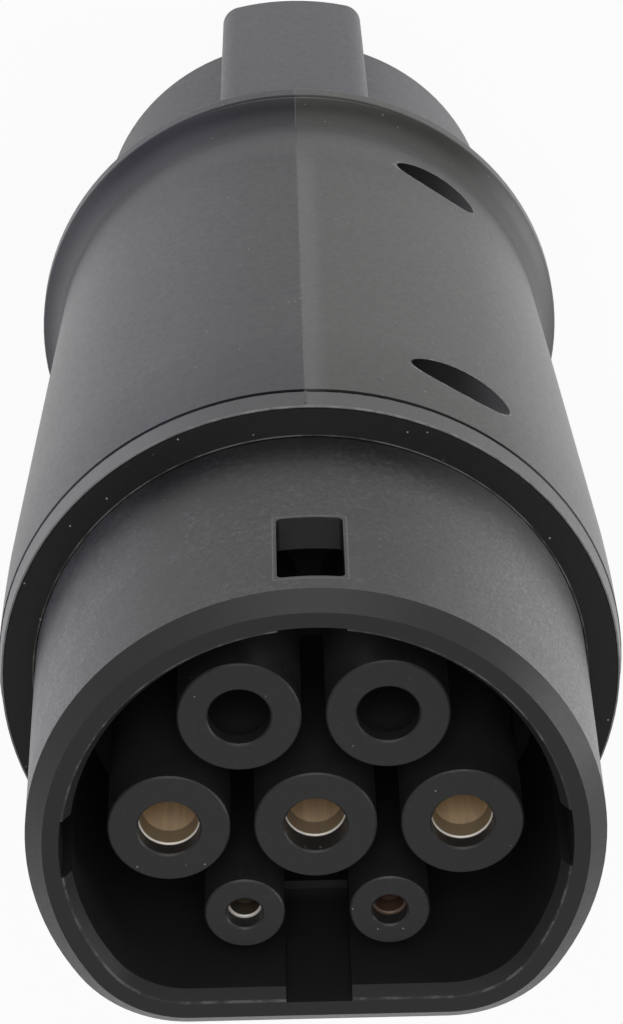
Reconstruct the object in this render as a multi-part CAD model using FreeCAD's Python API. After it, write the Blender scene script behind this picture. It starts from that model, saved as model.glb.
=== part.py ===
"""Electric vehicle charging adapter, round five-pin inlet at the rear, seven-way connector face in front.

The part stands on the rim of its rear inlet with the connector face up.
Millimetres. +Z is the axis, from the rear rim (z = 0) to the front rim.
+Y is the side with the latch hood and the lock window; the connector's flat faces -Y.
The origin is the centre of the rear rim. The two housing halves part on the plane x = 0.
"""
import FreeCAD, Part
import math
import os

V = FreeCAD.Vector

# Lengths along the axis
collar_length = 34.6
barrel_length = 93.2
shroud_reach = 34.9

# Connector shroud, outside: the sizes that the vehicle's inlet fixes
shroud_radius = 31.5
shroud_flat = 23.8
shroud_corner = 14.4
shroud_draft = 0.37

# Steps outwards from the shroud: its foot, its flange, the seal round it and the barrel round the seal
shroud_base_radius = shroud_radius + 0.5
shroud_flange_radius = shroud_base_radius + 1.6
seal_radius = shroud_radius + 3.93
barrel_front_radius = seal_radius + 0.74

# Barrel, outside
barrel_shoulder_radius = barrel_front_radius - 0.32
barrel_neck_radius = barrel_shoulder_radius - 3.76
barrel_lip_radius = barrel_neck_radius + 2.6
lip_back_round = 0.5
lip_band = 2.2
lip_edge_width = 0.3
lip_edge_length = 0.45
neck_height = 7.4
shoulder_drop = 18.0
groove_drop = 3.24
groove_width = 0.12
groove_depth = 0.5
band_step = 0.12
band_round = 0.4
band_front_radius = seal_radius + 0.32
front_edge_round = 0.12

# Barrel, inside
barrel_wall = 3.0
rear_wall = 3.0
front_wall = 3.0
flange_thickness = 3.6
retaining_rib = 2.0
rib_height = 1.2
rib_thickness = 1.6
tongue_height = 1.4
tongue_thickness = 1.2

# Running and fitting clearances
fit_gap = 0.1
slip_gap = 0.15
hood_gap = 0.2

# Housing screws: clearance of their bosses from the retaining ribs, and distances from the axis
front_boss_gap = 0.3
rear_boss_gap = 1.1
front_screw_offset = barrel_shoulder_radius - 5.35
rear_screw_offset = barrel_neck_radius - 5.63
screw_recess_radius = 3.3
screw_seat_depth = 8.0
screw_head_radius = 2.7
screw_head_height = 2.0
screw_shank_radius = 1.45
screw_length = 17.0
screw_boss_radius = 4.9
left_boss_depth = 12.0
right_boss_depth = 16.0

# Face seal
seal_thickness = 2.0
seal_taper = 0.4

# Connector shroud, rim, keying grooves and window
shroud_wall = 4.8
rim_chamfer_width = 1.9
rim_chamfer_height = 1.9
mouth_bevel_width = 0.87
mouth_bevel_height = 1.5
key_width = 7.3
key_depth = 1.1
key_length = 22.0
side_key_offset = 0.7
window_width = 7.2
window_length = 12.4
window_drop = 4.4
window_corner = 0.6

# Contact towers and their carrier
tower_recess = 4.72
power_tower_radius = 6.7
signal_tower_radius = 4.42
power_pitch = 16.0
spare_row = 14.0
signal_row = 11.4
tower_edge = 0.18
pocket_depth = 34.0
carrier_plate = 3.5
carrier_skirt = 2.5
carrier_flange = 3.0
carrier_flange_radius = shroud_flange_radius - 2.6
carrier_flange_half_height = front_screw_offset - screw_boss_radius - 0.3
power_mouth_depth = 1.9
earth_mouth_depth = 2.95
signal_mouth_depth = 1.95
power_mouth_radius = 3.4
signal_mouth_radius = 1.95
tower_mouth_edge = 0.2
mouth_edge = 0.4
shoulder_pocket = 2.2
retainer_thickness = 3.0
carrier_screw_radius = carrier_flange_radius - 2.0

# Socket contacts
power_bore_radius = 3.0
power_socket_wall = 1.2
power_socket_depth = 24.0
power_socket_body = 4.6
power_shoulder_radius = 5.45
signal_bore_radius = 1.5
signal_socket_wall = 0.85
signal_socket_depth = 16.0
signal_socket_body = 2.65
signal_shoulder_radius = 3.35
power_entry_radius = 3.25
power_entry_depth = 2.1
signal_entry_radius = 1.68
signal_entry_depth = 1.7
entry_edge = 0.15
power_closed_ring = 8.0
power_slot_width = 0.6
power_slot_length = 13.0
signal_closed_ring = 4.5
signal_slot_width = 0.4
signal_slot_length = 8.5
spring_drop = 12.0
spring_width = 2.5
spring_thickness = 0.6
spring_seat_depth = 0.25
spring_opening = 1.4

# Crimp barrels and wires
power_crimp_radius = 3.0
power_crimp_length = 13.0
signal_crimp_radius = 1.7
signal_crimp_length = 9.0
power_wire_radius = 2.45
power_core_radius = 1.58
signal_wire_radius = 1.3
signal_core_radius = 0.5
wire_strip = 1.0
wire_entry = 8.0
wire_sway = 30.0

# Rear inlet
collar_radius = 27.25
collar_draft = 0.15
inlet_bore_radius = 22.25
inlet_depth = 37.5
inlet_lead_in = 1.0
inlet_flange_radius = barrel_neck_radius - 1.6
insulator_radius = 19.0
insulator_recess = 7.0
insulator_flange_radius = 21.3
insulator_flange = 3.0
insulator_floor = 37.0
face_chamfer = 0.5
power_well_radius = 6.0
earth_well_radius = 5.2
signal_well_radius = 3.6

# Latch hood
hood_half_width = 9.6
hood_draft = 0.45
hood_radius = 33.3
hood_top_draft = 0.15
hood_edge_round = 2.7
tunnel_half_width = 6.0
tunnel_depth = 26.0
hood_roof = 2.1
catch_height = 26.4
catch_back = 9.0
latch_pocket_floor = 24.0
latch_pocket_length = 13.0
ramp_length = 4.0
ramp_drop = 1.0

# Inlet pins
inlet_power_x = 7.9
inlet_power_y = 6.8
inlet_earth_y = 10.6
inlet_signal_x = 10.3
inlet_signal_y = 5.6
inlet_power_pin_radius = 1.8
inlet_earth_pin_radius = 1.4
inlet_signal_pin_radius = 0.75
power_pin_recess = 4.0
signal_pin_recess = 8.0
pin_shoulder = 2.0
pin_root_step = 0.5
pin_root_reach = 0.3
power_pin_shoulder_radius = 3.4
signal_pin_shoulder_radius = 2.4

# Pin retainer
ear_reach = 27.2
ear_half_width = 4.5
inlet_screw_radius = 24.6
small_screw_radius = 1.1
small_screw_head_radius = 2.0
small_screw_head_height = 1.4
small_screw_grip = 8.0

# Coding resistor
resistor_radius = 1.15
resistor_length = 6.0
lead_radius = 0.3

# Stations along the axis that follow from the sizes above
lip_z = collar_length
face_z = lip_z + barrel_length
rim_z = face_z + shroud_reach
seal_floor_z = face_z - seal_thickness
front_wall_z = seal_floor_z - front_wall
shroud_flange_z = front_wall_z - fit_gap - flange_thickness
front_rib_z = shroud_flange_z - fit_gap
inlet_flange_z = lip_z + rear_wall + fit_gap
inlet_flange_top_z = inlet_flange_z + flange_thickness
rear_rib_z = inlet_flange_top_z + fit_gap
rear_rib_top_z = rear_rib_z + retaining_rib
front_screw_z = front_rib_z - screw_boss_radius - front_boss_gap
rear_screw_z = rear_rib_top_z + screw_boss_radius + rear_boss_gap
neck_z = lip_z + neck_height
shoulder_z = face_z - shoulder_drop
groove_z = face_z - groove_drop
tower_z = rim_z - tower_recess
pocket_z = rim_z - pocket_depth
carrier_top_z = shroud_flange_z
carrier_back_z = carrier_top_z - carrier_flange
retainer_back_z = carrier_back_z - retainer_thickness
pin_root_z = insulator_floor - pin_root_reach
insulator_top_z = inlet_flange_top_z + insulator_flange
pin_retainer_top_z = insulator_top_z + retainer_thickness

# Radii that follow from the sizes above
seal_pocket_radius = seal_radius + fit_gap
front_hole_radius = shroud_base_radius + slip_gap
front_groove_radius = shroud_flange_radius + hood_gap
front_rib_radius = carrier_flange_radius + 2 * slip_gap
rear_hole_radius = collar_radius + collar_draft + hood_gap
rear_groove_radius = inlet_flange_radius + hood_gap
rear_rib_radius = ear_reach + 1.4
insulator_hole_radius = insulator_radius + slip_gap
hood_end_z = lip_z - hood_gap
screw_shank_hole = screw_shank_radius + 0.25
screw_pilot_hole = screw_shank_radius + 0.03

# Contacts in the connector face: name, x, y, depth of the tower's narrow mouth
power_contacts = [
    ("line", power_pitch, 0.0, power_mouth_depth),
    ("neutral", -power_pitch, 0.0, power_mouth_depth),
    ("earth", 0.0, 0.0, earth_mouth_depth),
]
signal_contacts = [
    ("pilot", power_pitch / 2, -signal_row, signal_mouth_depth),
    ("proximity", -power_pitch / 2, -signal_row, signal_mouth_depth),
]
spare_towers = [(power_pitch / 2, spare_row), (-power_pitch / 2, spare_row)]

# Pins in the inlet: name, x, y, pin radius, well radius
inlet_pins = [
    ("line", inlet_power_x, inlet_power_y, inlet_power_pin_radius, power_well_radius),
    ("neutral", -inlet_power_x, inlet_power_y, inlet_power_pin_radius, power_well_radius),
    ("earth", 0.0, -inlet_earth_y, inlet_earth_pin_radius, earth_well_radius),
    ("pilot", inlet_signal_x, -inlet_signal_y, inlet_signal_pin_radius, signal_well_radius),
    ("proximity", -inlet_signal_x, -inlet_signal_y, inlet_signal_pin_radius, signal_well_radius),
]

# Housing screws: place, y, z
screw_sites = [
    ("front upper", front_screw_offset, front_screw_z),
    ("front lower", -front_screw_offset, front_screw_z),
    ("rear upper", rear_screw_offset, rear_screw_z),
    ("rear lower", -rear_screw_offset, rear_screw_z),
]


def cylinder(radius, z0, z1, x=0.0, y=0.0):
    return Part.makeCylinder(radius, z1 - z0, V(x, y, z0))


def block(x0, x1, y0, y1, z0, z1):
    return Part.makeBox(x1 - x0, y1 - y0, z1 - z0, V(x0, y0, z0))


def fused(shapes):
    out = shapes[0]
    for shape in shapes[1:]:
        out = out.fuse(shape)
    return out.removeSplitter()


def turned(edges, x=0.0, y=0.0):
    """Solid of revolution about Z from the edges of a closed profile in the XZ plane."""
    face = Part.Face(Part.Wire(edges))
    solid = Part.makeSolid(face.revolve(V(0, 0, 0), V(0, 0, 1), 360))
    if solid.Volume < 0:
        solid.reverse()
    solid.translate(V(x, y, 0))
    return solid


def turned_points(points, x=0.0, y=0.0):
    """Solid of revolution from radius and height pairs."""
    corners = [V(r, 0, z) for r, z in points]
    edges = Part.makePolygon(corners + [corners[0]]).Edges
    return turned(edges, x, y)


def arc_along(start, end, touch, slope=0.0):
    """Arc in the XZ plane from start to end that runs along a line through touch, one of its ends.

    The slope is the line's gain in radius for each millimetre of height.
    """
    other = start if touch is end else end
    across = V(1, 0, -slope).normalize()
    span = other - touch
    radius = span.Length ** 2 / (2 * span.dot(across))
    centre = touch + across * radius
    out = (start + end) * 0.5 - centre
    middle = centre + out * (abs(radius) / out.Length)
    return Part.Arc(start, middle, end).toShape()


def round_arc(start, end, centre):
    """Quarter turn in the XZ plane about a centre."""
    out = (start + end) * 0.5 - centre
    middle = centre + out * ((start - centre).Length / out.Length)
    return Part.Arc(start, middle, end).toShape()


def chain(points):
    """Straight edges through the points, in order."""
    return [Part.LineSegment(a, b).toShape() for a, b in zip(points, points[1:])]


def d_wire(radius, flat, corner, z):
    """Circle with a flat at y = -flat, joined to it by two rounded corners."""
    cy = -(flat - corner)
    cx = math.sqrt((radius - corner) ** 2 - cy * cy)
    scale = radius / (radius - corner)
    right = V(cx * scale, cy * scale, z)
    left = V(-cx * scale, cy * scale, z)
    right_foot = V(cx, -flat, z)
    left_foot = V(-cx, -flat, z)
    turn = (math.atan2(cy, cx) - math.pi / 2) / 2
    right_mid = V(cx + corner * math.cos(turn), cy + corner * math.sin(turn), z)
    left_mid = V(-right_mid.x, right_mid.y, z)
    return Part.Wire([
        Part.Arc(right, V(0, radius, z), left).toShape(),
        Part.Arc(left, left_mid, left_foot).toShape(),
        Part.LineSegment(left_foot, right_foot).toShape(),
        Part.Arc(right_foot, right_mid, right).toShape(),
    ])


def d_prism(inset, z0, z1):
    """Solid of the shroud's outline, set in from its outside by inset."""
    face = Part.Face(d_wire(shroud_radius - inset, shroud_flat - inset, shroud_corner - inset, z0))
    return face.extrude(V(0, 0, z1 - z0))


def d_taper(inset0, z0, inset1, z1):
    """The same with another inset at each end."""
    wires = [
        d_wire(shroud_radius - inset0, shroud_flat - inset0, shroud_corner - inset0, z0),
        d_wire(shroud_radius - inset1, shroud_flat - inset1, shroud_corner - inset1, z1),
    ]
    return Part.makeLoft(wires, True, True)


def barrel_outline():
    """Edges of the barrel's outside, from the inner edge of its rear wall to its front lip."""
    inner_rear = V(rear_hole_radius, 0, lip_z)
    lip_start = V(barrel_lip_radius - lip_back_round, 0, lip_z)
    lip_low = V(barrel_lip_radius, 0, lip_z + lip_back_round)
    lip_high = V(barrel_lip_radius, 0, lip_z + lip_band)
    lip_edge = V(barrel_lip_radius - lip_edge_width, 0, lip_z + lip_band + lip_edge_length)
    neck = V(barrel_neck_radius, 0, neck_z)
    shoulder = V(barrel_shoulder_radius, 0, shoulder_z)
    taper = (shoulder.x - neck.x) / (shoulder.z - neck.z)
    groove_low = V(barrel_front_radius, 0, groove_z - groove_width / 2)
    groove_floor_low = V(barrel_front_radius - groove_depth, 0, groove_low.z)
    groove_floor_high = V(groove_floor_low.x, 0, groove_z + groove_width / 2)
    band_start = V(barrel_front_radius - band_step - band_round, 0, groove_floor_high.z)
    band_low = V(barrel_front_radius - band_step, 0, band_start.z + band_round)
    edge_start = V(band_front_radius, 0, face_z - front_edge_round)
    edge_end = V(band_front_radius - front_edge_round, 0, face_z)
    return (
        chain([inner_rear, lip_start])
        + [round_arc(lip_start, lip_low, V(lip_start.x, 0, lip_low.z))]
        + chain([lip_low, lip_high])
        + [arc_along(lip_high, lip_edge, lip_high)]
        + [arc_along(lip_edge, neck, neck, taper)]
        + chain([neck, shoulder])
        + [arc_along(shoulder, groove_low, groove_low)]
        + chain([groove_low, groove_floor_low, groove_floor_high, band_start])
        + [round_arc(band_start, band_low, V(band_start.x, 0, band_low.z))]
        + chain([band_low, edge_start])
        + [round_arc(edge_start, edge_end, V(edge_end.x, 0, edge_start.z))]
    )


def wall_radius(z):
    """Inner radius of the barrel's wall at a height between neck and shoulder."""
    share = (z - neck_z) / (shoulder_z - neck_z)
    return barrel_neck_radius - barrel_wall + share * (barrel_shoulder_radius - barrel_neck_radius)


def barrel_form():
    """The barrel's outside as one filled body."""
    front_edge = V(band_front_radius - front_edge_round, 0, face_z)
    rear_edge = V(rear_hole_radius, 0, lip_z)
    return turned(barrel_outline() + chain([front_edge, V(0, 0, face_z), V(0, 0, lip_z), rear_edge]))


def barrel_shell():
    """The hollow barrel before it is parted: walls, flange grooves and retaining ribs."""
    inside = [
        V(band_front_radius - front_edge_round, 0, face_z),
        V(seal_pocket_radius, 0, face_z),
        V(seal_pocket_radius - seal_taper, 0, seal_floor_z),
        V(front_hole_radius, 0, seal_floor_z),
        V(front_hole_radius, 0, front_wall_z),
        V(front_groove_radius, 0, front_wall_z),
        V(front_groove_radius, 0, front_rib_z),
        V(front_rib_radius, 0, front_rib_z),
        V(front_rib_radius, 0, front_rib_z - retaining_rib),
        V(barrel_front_radius - barrel_wall, 0, front_rib_z - retaining_rib),
        V(barrel_shoulder_radius - barrel_wall, 0, shoulder_z),
        V(wall_radius(rear_rib_top_z), 0, rear_rib_top_z),
        V(rear_rib_radius, 0, rear_rib_top_z),
        V(rear_rib_radius, 0, rear_rib_z),
        V(rear_groove_radius, 0, rear_rib_z),
        V(rear_groove_radius, 0, lip_z + rear_wall),
        V(rear_hole_radius, 0, lip_z + rear_wall),
        V(rear_hole_radius, 0, lip_z),
    ]
    shell = turned(barrel_outline() + chain(inside))
    ribs = []
    for share in (0.25, 0.5, 0.75):
        z = neck_z + share * (shoulder_z - neck_z)
        outer = wall_radius(z) + 0.5
        inner = wall_radius(z) - rib_height
        ribs.append(turned_points([
            (inner, z - rib_thickness / 2),
            (outer, z - rib_thickness / 2),
            (outer, z + rib_thickness / 2),
            (inner, z + rib_thickness / 2),
        ]))
    return fused([shell] + ribs)


def tongue(gap):
    """The band in the wall that joins the halves along the parting plane."""
    z0 = rear_screw_z + screw_boss_radius + 1.0
    z1 = front_screw_z - screw_boss_radius - 1.0
    inset = (barrel_wall - tongue_thickness) / 2
    band = turned_points([
        (wall_radius(z0) + inset - gap, z0 - gap),
        (wall_radius(z0) + inset + tongue_thickness + gap, z0 - gap),
        (wall_radius(z1) + inset + tongue_thickness + gap, z1 + gap),
        (wall_radius(z1) + inset - gap, z1 + gap),
    ])
    return band.common(block(0, tongue_height + gap, -60, 60, z0 - 5, z1 + 5))


def housing_halves():
    shell = barrel_shell()
    form = barrel_form()
    reach = 2 * barrel_front_radius
    left = shell.common(block(-reach, 0, -reach, reach, -1, rim_z))
    right = shell.common(block(0, reach, -reach, reach, -1, rim_z))
    along_x = V(1, 0, 0)
    for name, y, z in screw_sites:
        left_boss = Part.makeCylinder(screw_boss_radius, left_boss_depth, V(-left_boss_depth, y, z), along_x)
        right_boss = Part.makeCylinder(screw_boss_radius, right_boss_depth, V(0, y, z), along_x)
        left = left.fuse(left_boss.common(form))
        right = right.fuse(right_boss.common(form))
    for name, y, z in screw_sites:
        pilot_length = screw_length - screw_seat_depth + 1.0
        pilot = Part.makeCylinder(screw_pilot_hole, pilot_length, V(-pilot_length, y, z), along_x)
        shank = Part.makeCylinder(screw_shank_hole, screw_seat_depth, V(0, y, z), along_x)
        recess = Part.makeCylinder(screw_recess_radius, reach, V(screw_seat_depth, y, z), along_x)
        left = left.cut(pilot)
        right = right.cut(shank).cut(recess)
    left = left.fuse(tongue(0.0)).removeSplitter()
    right = right.cut(tongue(fit_gap)).removeSplitter()
    return left, right


def housing_screw(y, z):
    """Pan-head screw along X with a cross recess."""
    x0 = screw_seat_depth - screw_length
    tip = 1.5
    along_x = V(1, 0, 0)
    shank = Part.makeCylinder(screw_shank_radius, screw_length - tip, V(x0 + tip, y, z), along_x)
    point = Part.makeCone(0.4, screw_shank_radius, tip, V(x0, y, z), along_x)
    head = Part.makeCylinder(screw_head_radius, screw_head_height, V(screw_seat_depth, y, z), along_x)
    head = head.makeFillet(0.8, [head.Edges[0]] if head.Edges[0].BoundBox.XMax > screw_seat_depth + 1 else
                           [e for e in head.Edges if e.BoundBox.XMin > screw_seat_depth + 1])
    top = screw_seat_depth + screw_head_height
    cross_a = block(top - 1.0, top + 1, y - 1.4, y + 1.4, z - 0.3, z + 0.3)
    cross_b = block(top - 1.0, top + 1, y - 0.3, y + 0.3, z - 1.4, z + 1.4)
    return fused([shank, point, head]).cut(cross_a).cut(cross_b)


def face_seal():
    ring = Part.makeCone(seal_radius - seal_taper, seal_radius, seal_thickness, V(0, 0, seal_floor_z))
    return ring.cut(d_prism(-shroud_draft - fit_gap, seal_floor_z - 1, face_z + 1))


def front_shroud():
    outside = fused([
        d_taper(-shroud_draft, seal_floor_z, 0.0, rim_z - rim_chamfer_height),
        d_taper(0.0, rim_z - rim_chamfer_height, rim_chamfer_width, rim_z),
        cylinder(shroud_base_radius, shroud_flange_z, seal_floor_z),
        cylinder(shroud_flange_radius, shroud_flange_z, shroud_flange_z + flange_thickness),
    ])
    cavity = d_prism(shroud_wall, shroud_flange_z - 1, rim_z + 1)
    bevel = d_taper(shroud_wall, rim_z - mouth_bevel_height, shroud_wall - mouth_bevel_width, rim_z)
    shroud = outside.cut(cavity).cut(bevel)
    # keying grooves: above, below and at both sides of the cavity, the round ones with round floors
    half = key_width / 2
    z0 = rim_z - key_length
    inner = shroud_radius - shroud_wall
    flat = shroud_flat - shroud_wall
    low = side_key_offset - half
    high = side_key_offset + half
    round_floor = cylinder(inner + key_depth, z0, rim_z + 1)
    shroud = shroud.cut(block(-half, half, inner - 6, shroud_radius, z0, rim_z + 1).common(round_floor))
    shroud = shroud.cut(block(-half, half, -flat - key_depth, -flat + 6, z0, rim_z + 1))
    shroud = shroud.cut(block(inner - 6, shroud_radius, low, high, z0, rim_z + 1).common(round_floor))
    shroud = shroud.cut(block(-shroud_radius, -inner + 6, low, high, z0, rim_z + 1).common(round_floor))
    # window for the lock
    window = block(
        -window_width / 2, window_width / 2,
        inner - 6, shroud_radius + 6,
        rim_z - window_drop - window_length, rim_z - window_drop,
    )
    corners = [e for e in window.Edges if e.BoundBox.YLength > 5]
    shroud = shroud.cut(window.makeFillet(window_corner, corners))
    # pilot holes for the carrier's screws
    for x in (-carrier_screw_radius, carrier_screw_radius):
        shroud = shroud.cut(cylinder(small_screw_radius + 0.03, shroud_flange_z - 1,
                                     shroud_flange_z + small_screw_grip, x, 0))
    return shroud.removeSplitter()


def tower(x, y, outer, mouth, mouth_depth, bore, pocket):
    """One contact tower: a tube with a narrow mouth and a pocket for the contact's shoulder."""
    mouth_z = tower_z - mouth_depth
    pocket_top = carrier_back_z + shoulder_pocket
    body = turned_points([
        (0, carrier_back_z),
        (outer, carrier_back_z),
        (outer, tower_z - tower_edge),
        (outer - tower_edge, tower_z),
        (0, tower_z),
    ], x, y)
    hole = turned_points([
        (0, carrier_back_z - 1),
        (pocket, carrier_back_z - 1),
        (pocket, pocket_top),
        (bore, pocket_top),
        (bore, mouth_z),
        (mouth, mouth_z),
        (mouth, tower_z - tower_mouth_edge),
        (mouth + tower_mouth_edge, tower_z),
        (mouth + tower_mouth_edge, tower_z + 1),
        (0, tower_z + 1),
    ], x, y)
    return body, hole


def flange_form(z0, z1):
    """Round flange with flat top and bottom, clear of the screw bosses."""
    disc = cylinder(carrier_flange_radius, z0, z1)
    reach = carrier_flange_radius + 5
    high = carrier_flange_half_height
    return disc.common(block(-reach, reach, -high, high, z0 - 1, z1 + 1))


def contact_carrier():
    inset = shroud_wall + slip_gap
    plate = d_prism(inset, pocket_z - carrier_plate, pocket_z)
    skirt = d_prism(inset, carrier_top_z, pocket_z - carrier_plate)
    core = d_prism(inset + carrier_skirt, carrier_back_z - 1, pocket_z - carrier_plate)
    flange = flange_form(carrier_back_z, carrier_top_z)
    base = fused([plate, skirt, flange]).cut(core)
    bodies = []
    holes = []
    sites = [(x, y, depth, True) for name, x, y, depth in power_contacts]
    sites += [(x, y, power_mouth_depth, True) for x, y in spare_towers]
    sites += [(x, y, depth, False) for name, x, y, depth in signal_contacts]
    for x, y, depth, is_power in sites:
        if is_power:
            body, hole = tower(x, y, power_tower_radius, power_mouth_radius, depth,
                               power_socket_body + slip_gap, power_shoulder_radius + slip_gap)
        else:
            body, hole = tower(x, y, signal_tower_radius, signal_mouth_radius, depth,
                               signal_socket_body + fit_gap, signal_shoulder_radius + fit_gap)
        bodies.append(body)
        holes.append(hole)
    carrier = fused([base] + bodies)
    for hole in holes:
        carrier = carrier.cut(hole)
    screw_hole = small_screw_radius + slip_gap
    for x in (-carrier_screw_radius, carrier_screw_radius):
        carrier = carrier.cut(cylinder(screw_hole, carrier_back_z - 1, carrier_top_z + 1, x, 0))
    return carrier


def contact_retainer():
    plate = flange_form(retainer_back_z, carrier_back_z)
    low = retainer_back_z - 1
    high = carrier_back_z + 1
    for name, x, y, depth in power_contacts:
        plate = plate.cut(cylinder(power_crimp_radius + slip_gap, low, high, x, y))
    for name, x, y, depth in signal_contacts:
        plate = plate.cut(cylinder(signal_crimp_radius + slip_gap, low, high, x, y))
    for x in (-carrier_screw_radius, carrier_screw_radius):
        plate = plate.cut(cylinder(small_screw_radius + slip_gap, low, high, x, 0))
    return plate


def socket_mouth(depth):
    """Height of a socket's mouth behind a tower mouth of this depth."""
    return tower_z - depth - slip_gap


def crossed_slots(width, z1, length, radius, x, y):
    """Two slots at right angles, from z1 down, that part a socket's wall into four fingers."""
    z0 = z1 - length
    reach = radius + 1
    return [
        block(x - reach, x + reach, y - width / 2, y + width / 2, z0, z1),
        block(x - width / 2, x + width / 2, y - reach, y + reach, z0, z1),
    ]


def power_socket(x, y, depth):
    """Closed at its mouth, with fingers behind that, a shoulder and a crimp barrel."""
    mouth = socket_mouth(depth)
    finger = power_bore_radius + power_socket_wall
    shoulder_top = carrier_back_z + shoulder_pocket - fit_gap
    shoulder_bottom = carrier_back_z + 0.05
    crimp_end = carrier_back_z - power_crimp_length
    spring_top = mouth - spring_drop
    spring_bottom = spring_top - spring_width
    bore_end = mouth - power_socket_depth
    body = turned_points([
        (0, crimp_end),
        (power_crimp_radius, crimp_end),
        (power_crimp_radius, shoulder_bottom),
        (power_shoulder_radius, shoulder_bottom),
        (power_shoulder_radius, shoulder_top),
        (power_socket_body, shoulder_top),
        (power_socket_body, bore_end),
        (finger, bore_end + 0.8),
        (finger, spring_bottom),
        (finger - spring_seat_depth, spring_bottom),
        (finger - spring_seat_depth, spring_top),
        (finger, spring_top),
        (finger, mouth - 0.4),
        (finger - 0.4, mouth),
        (power_entry_radius + entry_edge, mouth),
        (power_entry_radius, mouth - entry_edge),
        (power_bore_radius, mouth - power_entry_depth),
        (power_bore_radius, bore_end),
        (0, bore_end - 1.2),
    ], x, y)
    slot_top = mouth - power_closed_ring
    for slot in crossed_slots(power_slot_width, slot_top, power_slot_length, finger, x, y):
        body = body.cut(slot)
    wire_hole = cylinder(power_core_radius + 0.05, crimp_end - 1, crimp_end + wire_entry + 0.5, x, y)
    return body.cut(wire_hole)


def signal_socket(x, y, depth):
    mouth = socket_mouth(depth)
    finger = signal_bore_radius + signal_socket_wall
    shoulder_top = carrier_back_z + shoulder_pocket - fit_gap
    shoulder_bottom = carrier_back_z + 0.05
    crimp_end = carrier_back_z - signal_crimp_length
    bore_end = mouth - signal_socket_depth
    body = turned_points([
        (0, crimp_end),
        (signal_crimp_radius, crimp_end),
        (signal_crimp_radius, shoulder_bottom),
        (signal_shoulder_radius, shoulder_bottom),
        (signal_shoulder_radius, shoulder_top),
        (signal_socket_body, shoulder_top),
        (signal_socket_body, bore_end),
        (finger, bore_end + 0.8),
        (finger, mouth - 0.3),
        (finger - 0.3, mouth),
        (signal_entry_radius + entry_edge, mouth),
        (signal_entry_radius, mouth - entry_edge),
        (signal_bore_radius, mouth - signal_entry_depth),
        (signal_bore_radius, bore_end),
        (0, bore_end - 0.6),
    ], x, y)
    slot_top = mouth - signal_closed_ring
    for slot in crossed_slots(signal_slot_width, slot_top, signal_slot_length, finger, x, y):
        body = body.cut(slot)
    wire_hole = cylinder(signal_core_radius + 0.05, crimp_end - 1, crimp_end + wire_entry - 1.5, x, y)
    return body.cut(wire_hole)


def contact_spring(x, y, depth):
    """Split ring that presses the four fingers on the pin."""
    inner = power_bore_radius + power_socket_wall - spring_seat_depth + 0.02
    z1 = socket_mouth(depth) - spring_drop - 0.1
    z0 = z1 - spring_width + 0.2
    ring = cylinder(inner + spring_thickness, z0, z1, x, y).cut(cylinder(inner, z0 - 1, z1 + 1, x, y))
    half = spring_opening / 2
    return ring.cut(block(x - half, x + half, y, y + inner + 2, z0 - 1, z1 + 1))


def hood_wire(half, radius, z):
    """Outline of the hood: a foot inside the collar, upright sides, rounded corners and an arched roof."""
    low = collar_radius - 3.0
    r = hood_edge_round
    cx = half - r
    cy = math.sqrt((radius - r) ** 2 - cx * cx)
    scale = radius / (radius - r)
    turn = math.atan2(cy, cx) / 2
    corner = [V(half, cy, z), V(cx + r * math.cos(turn), cy + r * math.sin(turn), z), V(cx * scale, cy * scale, z)]
    left = [V(-p.x, p.y, z) for p in corner]
    return Part.Wire([
        Part.LineSegment(V(-half, low, z), V(half, low, z)).toShape(),
        Part.LineSegment(V(half, low, z), corner[0]).toShape(),
        Part.Arc(corner[0], corner[1], corner[2]).toShape(),
        Part.Arc(corner[2], V(0, radius, z), left[2]).toShape(),
        Part.Arc(left[2], left[1], left[0]).toShape(),
        Part.LineSegment(left[0], V(-half, low, z)).toShape(),
    ])


def latch_hood():
    """The hood over the latch: a tapered arch, joined to the collar's top."""
    rear = hood_wire(hood_half_width, hood_radius, 0)
    front = hood_wire(hood_half_width + hood_draft, hood_radius + hood_top_draft, hood_end_z)
    return Part.makeLoft([rear, front], True, True)


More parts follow.
